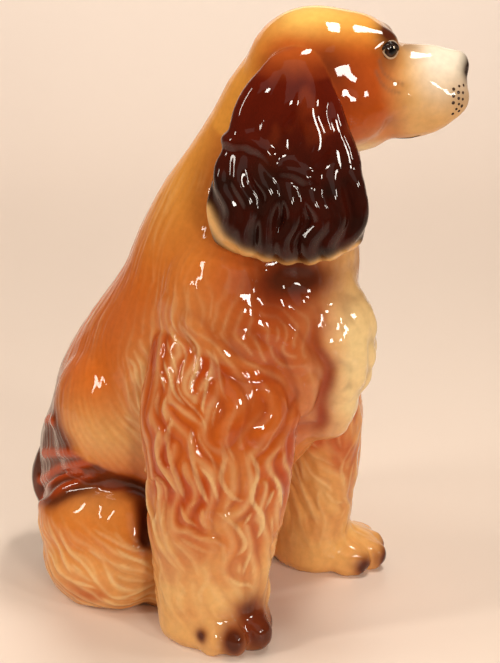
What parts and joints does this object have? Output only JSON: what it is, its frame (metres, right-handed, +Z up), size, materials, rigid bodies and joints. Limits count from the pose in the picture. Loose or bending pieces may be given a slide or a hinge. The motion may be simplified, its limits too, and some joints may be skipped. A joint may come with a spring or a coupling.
{
  "type": "sitting spaniel figurine",
  "caption": "Large glazed ceramic figurine of a sitting spaniel with long ears, its head turned to its left.",
  "frame": {"origin": "on the surface that the figurine stands on, under the middle of its body, on the flat underside of the base slab", "axes": "+Z up; the chest faces -Y and the dog's left is +X; the head looks 30 degrees to the dog's left"},
  "size_m": [0.2008, 0.3053, 0.402],
  "materials": {
    "amber_glaze": "glossy",
    "cream_glaze": "glossy",
    "brown_glaze": "glossy",
    "biscuit": "matte"
  },
  "bodies": {
    "root": {"torso_shell": "amber_glaze", "head_shell": "amber_glaze", "right_ear": "brown_glaze", "left_ear": "brown_glaze", "right_foreleg": "cream_glaze", "left_foreleg": "cream_glaze", "right_hind_leg": "cream_glaze", "left_hind_leg": "cream_glaze", "tail": "brown_glaze", "base_slab": "biscuit"}
  },
  "joints": []
}
